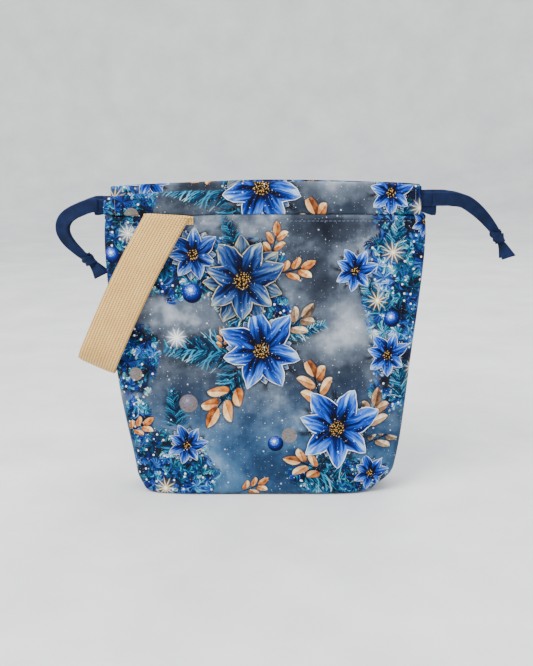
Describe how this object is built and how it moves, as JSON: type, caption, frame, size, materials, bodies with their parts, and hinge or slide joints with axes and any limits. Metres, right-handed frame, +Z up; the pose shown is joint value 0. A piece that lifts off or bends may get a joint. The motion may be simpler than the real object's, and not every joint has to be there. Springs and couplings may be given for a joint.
{
  "type": "drawstring knitting project bag",
  "caption": "Free-standing boxed cloth knitting bag with collar casings at the mouth, flat tape drawstrings pulled from both sides and a hanging webbing wrist handle.",
  "frame": {"origin": "middle of the base, on the surface that the bag stands on, at the bottom seam", "axes": "+Z up; +X to the bag's right as it is seen from its front, along its width; +Y to its back; the handle hangs on the -X side"},
  "size_m": [0.3674, 0.0546, 0.255],
  "materials": {
    "printed_cotton": "printed plain-weave cotton, matt",
    "wadding": "soft fleece wadding",
    "lining_cotton": "plain-weave cotton, matt",
    "webbing": "ribbed woven cotton webbing",
    "drawstring_tape": "flat woven cotton tape, slight sheen",
    "thread": "spun sewing thread"
  },
  "bodies": {
    "bag": {"outer_front": "printed_cotton", "outer_back": "printed_cotton", "wadding_front": "wadding", "wadding_back": "wadding", "lining_front": "lining_cotton", "lining_back": "lining_cotton", "casing_front": "printed_cotton", "casing_back": "printed_cotton", "handle_tab_front": "webbing", "handle_tab_back": "webbing", "topstitch_front": "thread", "topstitch_back": "thread", "hem_stitches_front": "thread", "hem_stitches_back": "thread"},
    "handle": {"handle_webbing": "webbing"},
    "right_drawstring": {"right_tape_run": "drawstring_tape"},
    "right_loop": {"right_strand_front": "drawstring_tape", "right_strand_back": "drawstring_tape", "right_knot": "drawstring_tape"},
    "left_drawstring": {"left_tape_run": "drawstring_tape"},
    "left_loop": {"left_strand_front": "drawstring_tape", "left_strand_back": "drawstring_tape", "left_knot": "drawstring_tape"}
  },
  "joints": [
    {"name": "handle_swing", "type": "hinge", "parent": "bag", "child": "handle", "pos_m": [-0.076, 0, 0.23], "axis": [0, 1, 0], "range_deg": [0, 155]},
    {"name": "right_drawstring_pull", "type": "slide", "parent": "bag", "child": "right_drawstring", "axis": [1, 0, 0], "range_m": [0, 0.006]},
    {"name": "left_drawstring_pull", "type": "slide", "parent": "bag", "child": "left_drawstring", "axis": [-1, 0, 0], "range_m": [0, 0.006]},
    {"name": "right_loop_lift", "type": "hinge", "parent": "right_drawstring", "child": "right_loop", "pos_m": [0.131, 0, 0.24], "axis": [0, -1, 0], "range_deg": [0, 50]},
    {"name": "left_loop_lift", "type": "hinge", "parent": "left_drawstring", "child": "left_loop", "pos_m": [-0.131, 0, 0.235], "axis": [0, 1, 0], "range_deg": [0, 50]}
  ]
}
